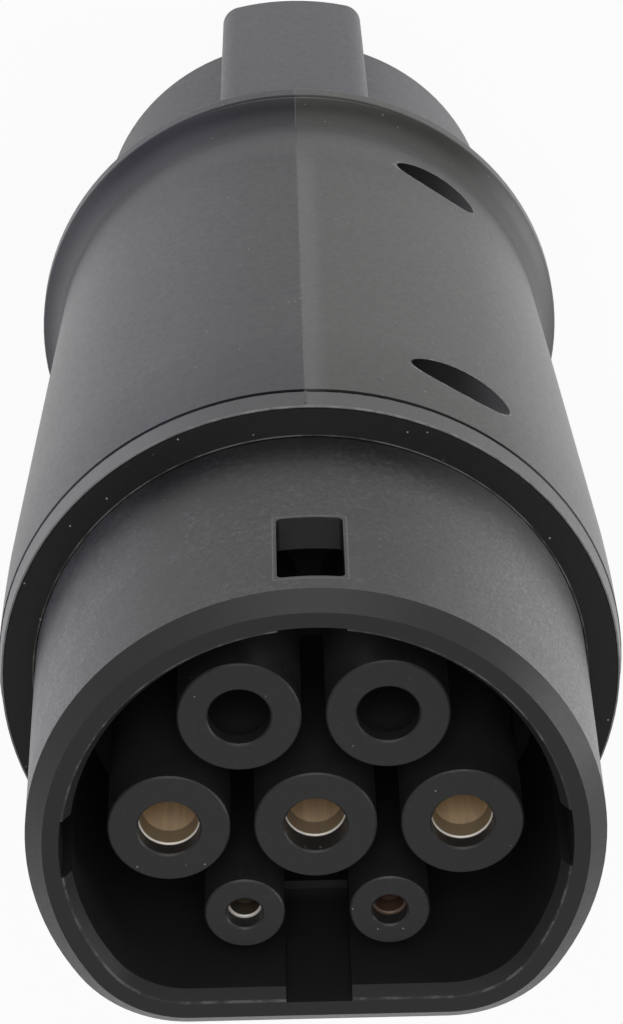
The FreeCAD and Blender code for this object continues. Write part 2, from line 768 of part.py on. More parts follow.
def rear_inlet():
    collar = turned_points([
        (inlet_bore_radius + inlet_lead_in, 0),
        (collar_radius - 0.6, 0),
        (collar_radius, 0.6),
        (collar_radius + collar_draft, lip_z),
        (collar_radius + collar_draft, inlet_flange_z),
        (inlet_flange_radius, inlet_flange_z),
        (inlet_flange_radius, inlet_flange_top_z),
        (insulator_hole_radius, inlet_flange_top_z),
        (insulator_hole_radius, inlet_depth),
        (inlet_bore_radius, inlet_depth),
        (inlet_bore_radius, inlet_lead_in),
    ])
    hood = latch_hood().cut(cylinder(inlet_bore_radius + 1.5, -1, lip_z + 5))
    inlet = fused([collar, hood])
    # tunnel for the latch, open at the rear, with a catch and a pocket behind it
    roof_radius = hood_radius - hood_roof
    tunnel = block(-tunnel_half_width, tunnel_half_width, catch_height, hood_radius + 5, -1, tunnel_depth)
    tunnel = tunnel.common(cylinder(roof_radius, -2, tunnel_depth + 1))
    pocket = block(-tunnel_half_width, tunnel_half_width, latch_pocket_floor, catch_height + 1,
                   catch_back, catch_back + latch_pocket_length)
    ramp_low = catch_height - ramp_drop
    ramp_top = catch_height + 0.5
    ramp_outline = [
        (ramp_top, -1),
        (ramp_top, ramp_length),
        (catch_height, ramp_length),
        (ramp_low, 0),
        (ramp_low, -1),
    ]
    ramp_corners = [V(-tunnel_half_width, y, z) for y, z in ramp_outline + ramp_outline[:1]]
    ramp = Part.Face(Part.makePolygon(ramp_corners)).extrude(V(2 * tunnel_half_width, 0, 0))
    inlet = inlet.cut(tunnel).cut(pocket).cut(ramp)
    for x in (-inlet_screw_radius, inlet_screw_radius):
        inlet = inlet.cut(cylinder(small_screw_radius + 0.03, inlet_flange_top_z - small_screw_grip,
                                   inlet_flange_top_z + 1, x, 0))
    return inlet.removeSplitter()


def pin_sizes(name):
    """Tip recess, shoulder radius and crimp of a pin."""
    if name in ("pilot", "proximity"):
        return signal_pin_recess, signal_pin_shoulder_radius, signal_crimp_radius, signal_crimp_length
    return power_pin_recess, power_pin_shoulder_radius, power_crimp_radius, power_crimp_length


def inlet_insulator():
    body = turned_points([
        (0, insulator_recess),
        (insulator_radius - face_chamfer, insulator_recess),
        (insulator_radius, insulator_recess + face_chamfer),
        (insulator_radius, inlet_flange_top_z),
        (insulator_flange_radius, inlet_flange_top_z),
        (insulator_flange_radius, insulator_top_z),
        (0, insulator_top_z),
    ])
    for name, x, y, radius, well in inlet_pins:
        recess, shoulder, crimp, crimp_length = pin_sizes(name)
        body = body.cut(turned_points([
            (0, insulator_recess - 1),
            (well + mouth_edge, insulator_recess - 1),
            (well + mouth_edge, insulator_recess),
            (well, insulator_recess + mouth_edge),
            (well, insulator_floor),
            (radius + pin_root_step + 0.05, insulator_floor),
            (radius + pin_root_step + 0.05, insulator_top_z - pin_shoulder),
            (shoulder + fit_gap, insulator_top_z - pin_shoulder),
            (shoulder + fit_gap, insulator_top_z + 1),
            (0, insulator_top_z + 1),
        ], x, y))
    return body


def pin_retainer():
    disc = cylinder(insulator_flange_radius, insulator_top_z, pin_retainer_top_z)
    shapes = [disc]
    foot = insulator_flange_radius + slip_gap
    for side in (-1, 1):
        x0, x1 = sorted((side * (insulator_flange_radius - 3), side * ear_reach))
        shapes.append(block(x0, x1, -ear_half_width, ear_half_width, insulator_top_z, pin_retainer_top_z))
        f0, f1 = sorted((side * foot, side * ear_reach))
        shapes.append(block(f0, f1, -ear_half_width, ear_half_width, inlet_flange_top_z, insulator_top_z))
    plate = fused(shapes)
    for name, x, y, radius, well in inlet_pins:
        recess, shoulder, crimp, crimp_length = pin_sizes(name)
        plate = plate.cut(cylinder(crimp + slip_gap, insulator_top_z - 1, pin_retainer_top_z + 1, x, y))
    screw_hole = small_screw_radius + slip_gap
    for x in (-inlet_screw_radius, inlet_screw_radius):
        plate = plate.cut(cylinder(screw_hole, inlet_flange_top_z - 1, pin_retainer_top_z + 1, x, 0))
    return plate


def inlet_pin(name, x, y, radius):
    """Contact pin with a thicker root in the insulator's floor, a shoulder and a crimp barrel."""
    recess, shoulder, crimp, crimp_length = pin_sizes(name)
    tip = insulator_recess + recess
    core = signal_core_radius if radius < 1 else power_core_radius
    entry = wire_entry - 2.0 if radius < 1 else wire_entry
    crimp_end = insulator_top_z + crimp_length
    dome = radius * 0.6
    body = turned_points([
        (0, tip),
        (radius - dome, tip),
        (radius, tip + dome),
        (radius, pin_root_z),
        (radius + pin_root_step, pin_root_z),
        (radius + pin_root_step, insulator_top_z - pin_shoulder + 0.05),
        (shoulder, insulator_top_z - pin_shoulder + 0.05),
        (shoulder, insulator_top_z - 0.05),
        (crimp, insulator_top_z - 0.05),
        (crimp, crimp_end),
        (0, crimp_end),
    ], x, y)
    return body.cut(cylinder(core + 0.05, crimp_end - entry - 0.5, crimp_end + 1, x, y))


def wire(name, start, finish, is_power):
    """Insulated wire from a socket's crimp down to a pin's crimp: two straight ends and an S of two arcs."""
    outer = power_wire_radius if is_power else signal_wire_radius
    core = power_core_radius if is_power else signal_core_radius
    crimp_length = power_crimp_length if is_power else signal_crimp_length
    entry = wire_entry if is_power else wire_entry - 2.0
    top = carrier_back_z - crimp_length
    bottom = insulator_top_z + crimp_length
    run = (top - bottom - wire_sway) / 2
    dx = finish[0] - start[0]
    dy = finish[1] - start[1]
    across = math.hypot(dx, dy)
    angle = 2 * math.atan2(across, wire_sway)
    radius = wire_sway / (2 * math.sin(angle))
    print(name, "bend radius", round(radius, 1))
    ux = dx / across
    uy = dy / across

    def at(offset, z):
        return V(start[0] + ux * offset, start[1] + uy * offset, z)

    z1 = top - run
    z2 = z1 - wire_sway / 2
    z3 = z1 - wire_sway
    half = angle / 2
    sag = radius * (1 - math.cos(half))
    fall = radius * math.sin(half)
    path = Part.Wire([
        Part.LineSegment(at(0, top - wire_strip), at(0, z1)).toShape(),
        Part.Arc(at(0, z1), at(sag, z1 - fall), at(across / 2, z2)).toShape(),
        Part.Arc(at(across / 2, z2), at(across - sag, z3 + fall), at(across, z3)).toShape(),
        Part.LineSegment(at(across, z3), at(across, bottom + wire_strip)).toShape(),
    ])
    ring = Part.Wire(Part.makeCircle(outer, at(0, top - wire_strip), V(0, 0, 1)))
    jacket = path.makePipeShell([ring], True, False)
    upper = cylinder(core, top - wire_strip - 0.5, top + entry, start[0], start[1])
    lower = cylinder(core, bottom - entry, bottom + wire_strip + 0.5, finish[0], finish[1])
    return fused([jacket, upper, lower])


def coding_resistor():
    """Axial resistor between the earth and the proximity crimps."""
    prox = [c for c in signal_contacts if c[0] == "proximity"][0]
    earth = [c for c in power_contacts if c[0] == "earth"][0]
    direction = V(prox[1] - earth[1], prox[2] - earth[2], 0)
    span = direction.Length
    direction.normalize()
    z = retainer_back_z - 2.5
    origin = V(earth[1], earth[2], z)
    first = power_crimp_radius + 0.05
    last = span - signal_crimp_radius - 0.05
    middle = (first + last) / 2
    leads = Part.makeCylinder(lead_radius, last - first, origin + direction * first, direction)
    body = Part.makeCylinder(resistor_radius, resistor_length,
                             origin + direction * (middle - resistor_length / 2), direction)
    return fused([leads, body])


def small_screw(x, seat_z, tip_z):
    """Retainer screw with its head on seat_z and its point at tip_z."""
    down = -1 if tip_z < seat_z else 1
    axis = V(0, 0, down)
    grip = abs(tip_z - seat_z)
    head = Part.makeCylinder(small_screw_head_radius, small_screw_head_height,
                             V(x, 0, seat_z - down * small_screw_head_height), axis)
    shank = Part.makeCylinder(small_screw_radius, grip - 1.0, V(x, 0, seat_z), axis)
    point = Part.makeCone(small_screw_radius, 0.3, 1.0, V(x, 0, seat_z + down * (grip - 1.0)), axis)
    return fused([head, shank, point])


def build():
    parts = {}
    parts["left_housing_half"], parts["right_housing_half"] = housing_halves()
    parts["housing_screws"] = Part.makeCompound([housing_screw(y, z) for name, y, z in screw_sites])
    parts["face_seal"] = face_seal()
    parts["front_shroud"] = front_shroud()
    parts["contact_carrier"] = contact_carrier()
    parts["contact_retainer"] = contact_retainer()
    for name, x, y, depth in power_contacts:
        parts[name + "_socket"] = power_socket(x, y, depth)
        parts[name + "_spring"] = contact_spring(x, y, depth)
    for name, x, y, depth in signal_contacts:
        parts[name + "_socket"] = signal_socket(x, y, depth)
    parts["rear_inlet"] = rear_inlet()
    parts["inlet_insulator"] = inlet_insulator()
    parts["pin_retainer"] = pin_retainer()
    sockets = {name: (x, y) for name, x, y, depth in power_contacts + signal_contacts}
    for name, x, y, radius, well in inlet_pins:
        parts[name + "_pin"] = inlet_pin(name, x, y, radius)
        parts[name + "_wire"] = wire(name, sockets[name], (x, y), name in ("line", "neutral", "earth"))
    parts["coding_resistor"] = coding_resistor()
    carrier_tip = shroud_flange_z + small_screw_grip - 0.5
    inlet_tip = inlet_flange_top_z - small_screw_grip + 0.5
    parts["carrier_screws"] = Part.makeCompound(
        [small_screw(x, retainer_back_z, carrier_tip) for x in (-carrier_screw_radius, carrier_screw_radius)])
    parts["inlet_screws"] = Part.makeCompound(
        [small_screw(x, pin_retainer_top_z, inlet_tip) for x in (-inlet_screw_radius, inlet_screw_radius)])
    return parts


def main():
    os.makedirs("parts", exist_ok=True)
    for name, shape in build().items():
        solid = shape.Solids[0] if len(shape.Solids) == 1 else shape
        solid.exportStep("parts/" + name + ".step")
        print(name, "solids", len(shape.Solids), "valid", shape.isValid(), "volume", round(shape.Volume, 1))


main()
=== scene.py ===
import math
import random

import bpy
from mathutils import Matrix, Vector


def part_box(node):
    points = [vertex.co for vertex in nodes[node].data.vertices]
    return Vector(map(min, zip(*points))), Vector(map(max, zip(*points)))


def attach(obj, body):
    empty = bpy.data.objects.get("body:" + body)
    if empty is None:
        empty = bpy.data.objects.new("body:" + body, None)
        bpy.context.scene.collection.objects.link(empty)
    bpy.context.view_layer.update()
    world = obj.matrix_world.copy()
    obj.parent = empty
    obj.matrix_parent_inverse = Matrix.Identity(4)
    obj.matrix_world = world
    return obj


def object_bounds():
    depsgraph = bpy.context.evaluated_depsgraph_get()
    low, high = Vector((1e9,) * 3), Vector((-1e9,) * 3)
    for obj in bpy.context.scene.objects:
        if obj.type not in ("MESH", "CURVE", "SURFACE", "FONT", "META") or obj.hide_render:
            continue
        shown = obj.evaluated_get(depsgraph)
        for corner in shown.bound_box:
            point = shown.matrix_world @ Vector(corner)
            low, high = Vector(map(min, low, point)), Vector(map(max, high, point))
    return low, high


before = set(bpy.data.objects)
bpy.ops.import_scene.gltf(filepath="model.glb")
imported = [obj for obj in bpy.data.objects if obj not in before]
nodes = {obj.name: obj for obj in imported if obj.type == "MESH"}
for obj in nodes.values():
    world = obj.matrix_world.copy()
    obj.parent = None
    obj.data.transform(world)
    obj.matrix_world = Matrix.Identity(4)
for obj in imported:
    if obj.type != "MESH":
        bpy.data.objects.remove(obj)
cad_low, cad_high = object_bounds()
scene = bpy.context.scene
scene.view_settings.view_transform = "Standard"

MM = 0.001

# Heights along the axis, from the frame
rim_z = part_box("front_shroud")[1].z
tower_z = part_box("contact_carrier")[1].z
face_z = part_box("face_seal")[1].z
lip_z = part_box("left_housing_half")[0].z

# Heights of the barrel's concave neck and of the parting groove behind its front band
neck_z = 42.0 * MM
band_z = 124.6 * MM

# The right half's screw recesses: each pair's distance from the plane between them, and its height
screw_places = ((30.5 * MM, 113.8 * MM), (26.46 * MM, 49.4 * MM))
recess_radius = 3.3 * MM

# The shroud's outline, an arc with a flat and two corners, with its wall and its lock window
shroud_radius = 31.5 * MM
shroud_flat = 23.8 * MM
shroud_corner = 14.4 * MM
shroud_wall = 4.8 * MM
rim_bevel = 0.87 * MM
window_half_width = 3.6 * MM
window_half_length = 6.2 * MM
window_middle_z = 152.1 * MM

# The rear collar, from which the hood stands out
collar_radius = 27.25 * MM


# Camera, at the photograph's viewing angle: above the connector face on the hood's side
def make_camera():
    place = Vector((-2.7977, 236.4509, 514.5919)) * MM
    right = Vector((0.999715, -0.016368, 0.01739))
    up = Vector((0.022742, 0.874674, -0.484178))
    focal_px = 3921.53
    picture_height_px = 1024
    data = bpy.data.cameras.new("camera")
    data.sensor_width = 36.0
    data.lens = focal_px * data.sensor_width / picture_height_px
    data.clip_start = 0.02
    data.clip_end = 20
    camera = bpy.data.objects.new("camera", data)
    scene.collection.objects.link(camera)
    turn = Matrix((right, up, right.cross(up))).transposed().to_4x4()
    camera.matrix_world = Matrix.Translation(place) @ turn
    scene.camera = camera


make_camera()

# Sockets of the Mix node when it mixes colours
MIX_FACTOR = 0
MIX_FIRST = 6
MIX_SECOND = 7
MIX_RESULT = 2


class Graph:
    """A material's node tree, with short calls to add and join nodes. Values are (node, output) pairs."""

    def __init__(self, name):
        self.material = bpy.data.materials.new(name)
        self.material.use_nodes = True
        self.tree = self.material.node_tree
        self.tree.nodes.clear()
        self.out = self.add("ShaderNodeOutputMaterial")
        self.shader = self.add("ShaderNodeBsdfPrincipled")
        self.put((self.shader, "BSDF"), self.out.inputs["Surface"])
        self.place = (self.add("ShaderNodeTexCoord"), "Object")
        self.colour = None
        self.roughness = None

    def add(self, kind, **values):
        node = self.tree.nodes.new(kind)
        for key, value in values.items():
            setattr(node, key, value)
        return node

    def put(self, value, socket):
        """Joins an output to a socket, or writes a plain value or colour into it."""
        if isinstance(value, tuple) and hasattr(value[0], "outputs"):
            self.tree.links.new(value[0].outputs[value[1]], socket)
        elif isinstance(value, tuple) and socket.type == "RGBA":
            socket.default_value = (*value, 1)
        else:
            socket.default_value = value

    def math(self, operation, *values):
        node = self.add("ShaderNodeMath", operation=operation)
        for value, socket in zip(values, node.inputs):
            self.put(value, socket)
        return node, "Value"

    def minus(self, a, b):
        return self.math("SUBTRACT", a, b)

    def times(self, first, *others):
        product = first
        for other in others:
            product = self.math("MULTIPLY", product, other)
        return product

    def length(self, a, b):
        """Distance from the origin to the point (a, b)."""
        square = self.math("ADD", self.times(a, a), self.times(b, b))
        return self.math("SQRT", square)

    def xyz(self):
        """The place on the object, in the frame's metres."""
        split = self.add("ShaderNodeSeparateXYZ")
        self.put(self.place, split.inputs[0])
        return (split, "X"), (split, "Y"), (split, "Z")

    def rise(self, value, low, high, start=0.0, end=1.0):
        """Goes smoothly from start to end while the value goes from low to high."""
        node = self.add("ShaderNodeMapRange", interpolation_type="SMOOTHSTEP")
        for name, number in (("From Min", low), ("From Max", high), ("To Min", start), ("To Max", end)):
            node.inputs[name].default_value = number
        self.put(value, node.inputs["Value"])
        return node, "Result"

    def fall(self, value, low, high, start=1.0):
        """Goes smoothly from start to 0 while the value goes from low to high."""
        return self.rise(value, low, high, start, 0.0)

    def hump(self, value, up_from, up_to, down_from, down_to, height=1.0):
        """Rises from 0 to height between the first two values, and falls to 0 between the last two."""
        return self.times(self.rise(value, up_from, up_to), self.fall(value, down_from, down_to, height))

    def noise(self, scale, detail, rough, stretch=(1, 1, 1)):
        mapping = self.add("ShaderNodeMapping")
        mapping.inputs["Scale"].default_value = stretch
        self.put(self.place, mapping.inputs["Vector"])
        node = self.add("ShaderNodeTexNoise")
        self.put((mapping, "Vector"), node.inputs["Vector"])
        node.inputs["Scale"].default_value = scale
        node.inputs["Detail"].default_value = detail
        node.inputs["Roughness"].default_value = rough
        return node, "Fac"

    def patches(self, scale, detail, rough, low=0.3, high=0.7, start=0.0, end=1.0):
        """Noise with about scale patches per metre, spread out to go from start to end."""
        return self.rise(self.noise(scale, detail, rough), low, high, start, end)

    def mix(self, factor, a, b, blend="MIX"):
        node = self.add("ShaderNodeMix", data_type="RGBA", blend_type=blend)
        self.put(factor, node.inputs[MIX_FACTOR])
        self.put(a, node.inputs[MIX_FIRST])
        self.put(b, node.inputs[MIX_SECOND])
        return node, MIX_RESULT

    def tint(self, factor, colour, blend="MIX"):
        """Lays one more colour over the base colour."""
        self.colour = self.mix(factor, self.colour, colour, blend)
        self.put(self.colour, self.shader.inputs["Base Color"])

    def roughen(self, value):
        """Sets the roughness, which changes over the surface."""
        self.roughness = value
        self.put(value, self.shader.inputs["Roughness"])

    def outward(self):
        """1 on faces that look away from the axis, 0 on the others."""
        sideways = (1, 1, 0)
        facing_low = 0.85
        facing_high = 0.95
        normal = self.add("ShaderNodeNewGeometry")
        flat = self.add("ShaderNodeVectorMath", operation="MULTIPLY")
        self.put(self.place, flat.inputs[0])
        flat.inputs[1].default_value = sideways
        unit = self.add("ShaderNodeVectorMath", operation="NORMALIZE")
        self.put((flat, "Vector"), unit.inputs[0])
        along = self.add("ShaderNodeVectorMath", operation="DOT_PRODUCT")
        self.put((unit, "Vector"), along.inputs[0])
        self.put((normal, "Normal"), along.inputs[1])
        return self.rise((along, "Value"), facing_low, facing_high)

    def bump(self, height, distance):
        node = self.add("ShaderNodeBump")
        node.inputs["Distance"].default_value = distance
        self.put(height, node.inputs["Height"])
        self.put((node, "Normal"), self.shader.inputs["Normal"])


def srgb(r, g, b):
    """Linear colour from 0 to 255 values."""
    def one(v):
        v /= 255
        return v / 12.92 if v <= 0.04045 else ((v + 0.055) / 1.055) ** 2.4
    return one(r), one(g), one(b)


def scaled(colour, factor):
    return tuple(c * factor for c in colour)


# Greys that several materials share
dust_grey = srgb(150, 150, 150)
scuff_grey = srgb(120, 120, 122)
pale_line_grey = srgb(125, 125, 127)
insulator_grey = srgb(41, 41, 42)


# Plastics: a moulded surface with a fine grain, slow changes of tone, dust specks and faint scuffs
def moulded(name, colour, rough=0.42, speckle=0.08, dust=0.0, scuff=0.0, sheen=0.6):
    mottle = 0.04
    smoothest = rough - 0.03
    dullest = rough + 0.03
    grain_height = 0.01 * MM
    dust_cells_per_metre = 650
    speck_radius_in_cells = 0.08
    g = Graph(name)
    slow = g.patches(scale=30, detail=2, rough=0.5)
    g.colour = g.mix(slow, scaled(colour, 1 - mottle), scaled(colour, 1 + mottle))
    fine = g.patches(scale=1500, detail=3, rough=0.6, start=1 - speckle, end=1 + speckle)
    g.tint(1.0, fine, "MULTIPLY")
    if scuff > 0:
        along_axis = (1.0, 1.0, 0.15)
        long_marks = g.noise(scale=900, detail=4, rough=0.7, stretch=along_axis)
        g.tint(g.rise(long_marks, low=0.6, high=0.75, end=scuff), scuff_grey)
    if dust > 0:
        cells = g.add("ShaderNodeTexVoronoi")
        cells.inputs["Scale"].default_value = dust_cells_per_metre
        g.put(g.place, cells.inputs["Vector"])
        near = g.math("LESS_THAN", (cells, "Distance"), speck_radius_in_cells)
        some = g.rise((cells, "Color"), low=0.6, high=0.64, end=dust)
        g.tint(g.times(near, some), dust_grey)
    g.roughen(g.patches(scale=1300, detail=3, rough=0.6, start=smoothest, end=dullest))
    g.shader.inputs["Specular IOR Level"].default_value = sheen
    g.bump(g.noise(scale=4200, detail=3, rough=0.7), grain_height)
    return g


def screw_recesses(g, x, y, z):
    """Painted shade inside the right half's screw recesses: nearly black and dull, less dark towards
    their mouths, with pale lines round their edges.
    """
    shade_colour = srgb(8, 7, 12)
    mouth_grey = srgb(70, 70, 74)
    recess_edge_grey = srgb(165, 165, 168)
    strength = 0.95
    dullness = 0.5
    side = g.math("ABSOLUTE", y)
    reach = [g.length(g.minus(side, screw_y), g.minus(z, screw_z)) for screw_y, screw_z in screw_places]
    nearest = g.minus(g.math("MINIMUM", *reach), recess_radius)
    right = g.rise(x, low=2 * MM, high=3 * MM)
    inside = g.times(right, g.fall(nearest, low=0.02 * MM, high=0.08 * MM))
    # Painted shade: nearly black inside the recesses, and less dark again towards their mouths
    g.tint(g.times(inside, strength), shade_colour)
    g.tint(g.times(inside, g.rise(x, low=17 * MM, high=23 * MM, end=0.5)), mouth_grey)
    g.roughen(g.math("ADD", g.roughness, g.times(inside, dullness)))
    edge = g.hump(nearest, up_from=0.05 * MM, up_to=0.1 * MM, down_from=0.16 * MM, down_to=0.26 * MM)
    edge_breaks = g.patches(scale=900, detail=3, rough=0.7, low=0.48, high=0.6, end=0.5)
    g.tint(g.times(right, edge, edge_breaks), recess_edge_grey)


def housing_plastic(name, colour, sheen):
    """The barrel's halves: paler with painted light at flanks, neck and front band, and a painted
    highlight along the front edge.
    """
    flank_sheen_grey = srgb(82, 82, 84)
    right_sheen_grey = srgb(120, 120, 120)
    left_flank_sheen_grey = srgb(100, 99, 104)
    left_violet_sheen = srgb(84, 82, 100)
    stripe_grey = srgb(110, 110, 110)
    neck_light_grey = srgb(110, 110, 112)
    band_sheen_grey = srgb(88, 88, 90)
    band_right_sheen_grey = srgb(114, 114, 114)
    band_left_sheen_grey = srgb(124, 123, 127)
    flank_from = 20 * MM
    flank_to = 34 * MM
    band_strength = 0.65
    g = moulded(name, colour, rough=0.4, dust=0.5, scuff=0.06, sheen=sheen)
    x, y, z = g.xyz()
    # Painted sheen: paler towards the flanks and more so on the right; on the left a violet paling,
    # partly the half's own tone and partly painted sheen
    g.tint(g.rise(g.math("ABSOLUTE", x), flank_from, flank_to, end=0.45), flank_sheen_grey)
    g.tint(g.rise(x, flank_from, flank_to, end=0.5), right_sheen_grey)
    g.tint(g.fall(x, low=-18 * MM, high=-4 * MM, start=0.24), left_violet_sheen)
    g.tint(g.fall(x, -flank_to, -flank_from, start=0.5), left_flank_sheen_grey)

    # A paler stripe on the right half, beside the seam and in front of the neck
    stripe = g.hump(x, up_from=-0.2 * MM, up_to=0.0, down_from=0.6 * MM, down_to=3.2 * MM, height=0.3)
    in_front = g.rise(z, neck_z + 4 * MM, neck_z + 14 * MM)
    g.tint(g.times(stripe, in_front), stripe_grey)

    # The concave neck, made paler with painted light
    foot_start = neck_z - 1.5 * MM
    foot = g.hump(z, foot_start, foot_start + 2 * MM, neck_z + 2 * MM, neck_z + 12 * MM, height=0.38)
    g.tint(foot, neck_light_grey)

    # The band in front of the parting groove, paler with painted sheen, more so at the sides
    band = g.rise(z, band_z, band_z + 0.3 * MM)
    g.tint(g.times(band, band_strength), band_sheen_grey)
    g.tint(g.times(band, g.rise(x, low=10 * MM, high=30 * MM, end=0.4)), band_right_sheen_grey)
    g.tint(g.times(band, g.fall(x, low=-28 * MM, high=-8 * MM, start=0.8)), band_left_sheen_grey)

    # The front edge, with a painted highlight along it
    edge = g.rise(z, face_z - 0.22 * MM, face_z - 0.1 * MM)
    broken = g.patches(scale=600, detail=3, rough=0.6, low=0.35, high=0.6, start=0.35)
    g.tint(g.times(edge, broken), pale_line_grey)
    screw_recesses(g, x, y, z)
    return g


def rim_edge_highlight(g, x, y, z, radius):
    """A painted highlight: a thin pale line along the rim's inner edge, where the bevel ends."""
    middle_y = shroud_corner - shroud_flat
    middle_x = math.sqrt((shroud_radius - shroud_corner) ** 2 - middle_y ** 2)
    side = g.math("ABSOLUTE", x)
    right = g.math("MAXIMUM", g.minus(side, middle_x), 0.0)
    down = g.math("MAXIMUM", g.minus(middle_y, y), 0.0)
    corner = g.minus(g.length(right, down), shroud_corner - shroud_wall)
    arc = g.minus(radius, shroud_radius - shroud_wall)
    low = g.math("LESS_THAN", g.times(side, -middle_y), g.times(y, -middle_x))
    out = g.math("ADD", g.times(low, corner), g.times(g.minus(1.0, low), arc))
    beyond = g.minus(out, rim_bevel)
    line = g.hump(beyond, up_from=-0.12 * MM, up_to=-0.06 * MM, down_from=0.12 * MM, down_to=0.22 * MM)
    at_rim = g.rise(z, rim_z - 0.3 * MM, rim_z - 0.2 * MM)
    broken = g.patches(scale=420, detail=4, rough=0.7, low=0.42, high=0.62, start=0.05, end=0.45)
    g.tint(g.times(line, at_rim, broken), pale_line_grey)


def window_line(g, x, y, z):
    """A thin pale line round the lock window."""
    across = g.minus(g.math("ABSOLUTE", x), window_half_width)
    along = g.minus(g.math("ABSOLUTE", g.minus(z, window_middle_z)), window_half_length)
    reach = g.math("MAXIMUM", across, along)
    line = g.hump(reach, 0.28 * MM, 0.36 * MM, 0.42 * MM, 0.5 * MM, height=0.4)
    hood_side = g.rise(y, low=20 * MM, high=22 * MM)
    g.tint(g.times(line, hood_side), pale_line_grey)


def shroud_plastic():
    """The shroud: mottled outside, with painted shade at its foot, dusty and with painted sheen at its
    flanks, plain inside, a painted highlight at its rim and a pale line round its window.
    """
    inner_grey = srgb(36, 36, 36)
    mottle_grey = srgb(82, 82, 83)
    dust_and_sheen_grey = srgb(99, 99, 100)
    right_sheen_grey = srgb(112, 112, 112)
    fleck_grey = srgb(170, 170, 170)
    violet_gain = (1.06, 1.03, 1.2)
    g = moulded("shroud_grey", srgb(27, 27, 28), speckle=0.04, dust=0.25)
    x, y, z = g.xyz()
    radius = g.length(x, y)
    outside = g.outward()
    g.tint(g.minus(1.0, outside), inner_grey)

    # Mottle in clouds, fainter near the foot, which leaves painted shade there
    clear = g.rise(z, face_z + 1 * MM, face_z + 12 * MM, start=0.25)
    clouds = g.patches(scale=70, detail=3, rough=0.6, low=0.35, high=0.65, start=0.5, end=1.5)
    mottle = g.patches(scale=1300, detail=5, rough=0.8, low=0.4, high=0.7, end=0.5)
    g.tint(g.times(outside, mottle, clear, clouds), mottle_grey)

    # Dust and painted sheen on the flanks, with more painted sheen on the right one
    side = g.rise(g.math("ABSOLUTE", x), low=0.45 * shroud_radius, high=0.98 * shroud_radius)
    haze = g.patches(scale=240, detail=5, rough=0.65, start=0.5, end=0.9)
    g.tint(g.times(outside, side, haze), dust_and_sheen_grey)
    g.tint(g.times(outside, g.rise(x, low=6 * MM, high=30 * MM, end=0.6)), right_sheen_grey)

    # Grain and pale flecks over the dust
    grain = g.patches(scale=2200, detail=4, rough=0.8, low=0.38, high=0.62, start=0.66, end=1.34)
    g.tint(g.times(outside, clear), grain, "MULTIPLY")
    flecks = g.patches(scale=1100, detail=6, rough=0.9, low=0.54, high=0.66, end=0.42)
    g.tint(g.times(outside, side, clouds, flecks), fleck_grey)

    # A violet cast on the left, as on the barrel
    left = g.fall(x, low=-14 * MM, high=2 * MM)
    g.tint(g.times(outside, left), violet_gain, "MULTIPLY")

    rim_edge_highlight(g, x, y, z, radius)
    window_line(g, x, y, z)
    return g


def inlet_plastic():
    """The collar and the hood: a purplish grey, a little paler on the hood, and paler with painted sheen
    on the right flank.
    """
    hood_grey = srgb(80, 78, 88)
    right_sheen_grey = srgb(104, 103, 106)
    g = moulded("inlet_grey", srgb(36, 34, 46), dust=0.3, scuff=0.05, sheen=0.7)
    x, y, _ = g.xyz()
    hood = g.rise(g.length(x, y), collar_radius + 0.3 * MM, collar_radius + 2 * MM, end=0.4)
    g.tint(hood, hood_grey)
    # Painted sheen on the right flank
    g.tint(g.rise(x, low=4 * MM, high=20 * MM, end=0.5), right_sheen_grey)
    return g


def seal_rubber():
    """The ring round the shroud's foot: dusty, with a painted highlight, a thin pale line where its inner
    edge is round.
    """
    seal_edge_highlight_grey = srgb(112, 110, 106)
    g = moulded("seal_rubber", srgb(24, 24, 24), rough=0.45, dust=0.9, speckle=0.12, sheen=0.5)
    x, y, _ = g.xyz()
    inner = min(math.hypot(v.co.x, v.co.y) for v in nodes["face_seal"].data.vertices if v.co.y > 0)
    line = g.fall(g.length(x, y), inner + 0.12 * MM, inner + 0.2 * MM)
    broken = g.patches(scale=300, detail=3, rough=0.6, low=0.35, high=0.6, start=0.2, end=0.9)
    round_part = g.rise(y, low=-15 * MM, high=-11 * MM)
    g.tint(g.times(line, round_part, broken), seal_edge_highlight_grey)
    return g


def carrier_plastic():
    """The seven towers' block, with painted shade: dull and nearly black in its depth, below the towers'
    mouths.
    """
    shade_colour = srgb(8, 8, 9)
    strength = 0.85
    dullness = 0.4
    g = moulded("carrier_dark", insulator_grey, dust=0.6, scuff=0.08)
    _, _, z = g.xyz()
    deep = g.fall(z, tower_z - 6 * MM, tower_z - 0.8 * MM)
    g.tint(g.times(deep, strength), shade_colour)
    g.roughen(g.math("ADD", g.roughness, g.times(deep, dullness)))
    return g


# Metals: brushed or turned along the axis
def metal(name, colour, rough, metallic=1.0):
    along_axis = (1, 1, 0.08)
    darkest = 0.85
    smoothest = rough - 0.05
    dullest = rough + 0.08
    g = Graph(name)
    streak = g.noise(scale=1500, detail=3, rough=0.6, stretch=along_axis)
    g.colour = g.mix(g.rise(streak, low=0.3, high=0.7), scaled(colour, darkest), colour)
    g.put(g.colour, g.shader.inputs["Base Color"])
    g.roughen(g.rise(streak, low=0.3, high=0.7, start=smoothest, end=dullest))
    g.shader.inputs["Metallic"].default_value = metallic
    return g


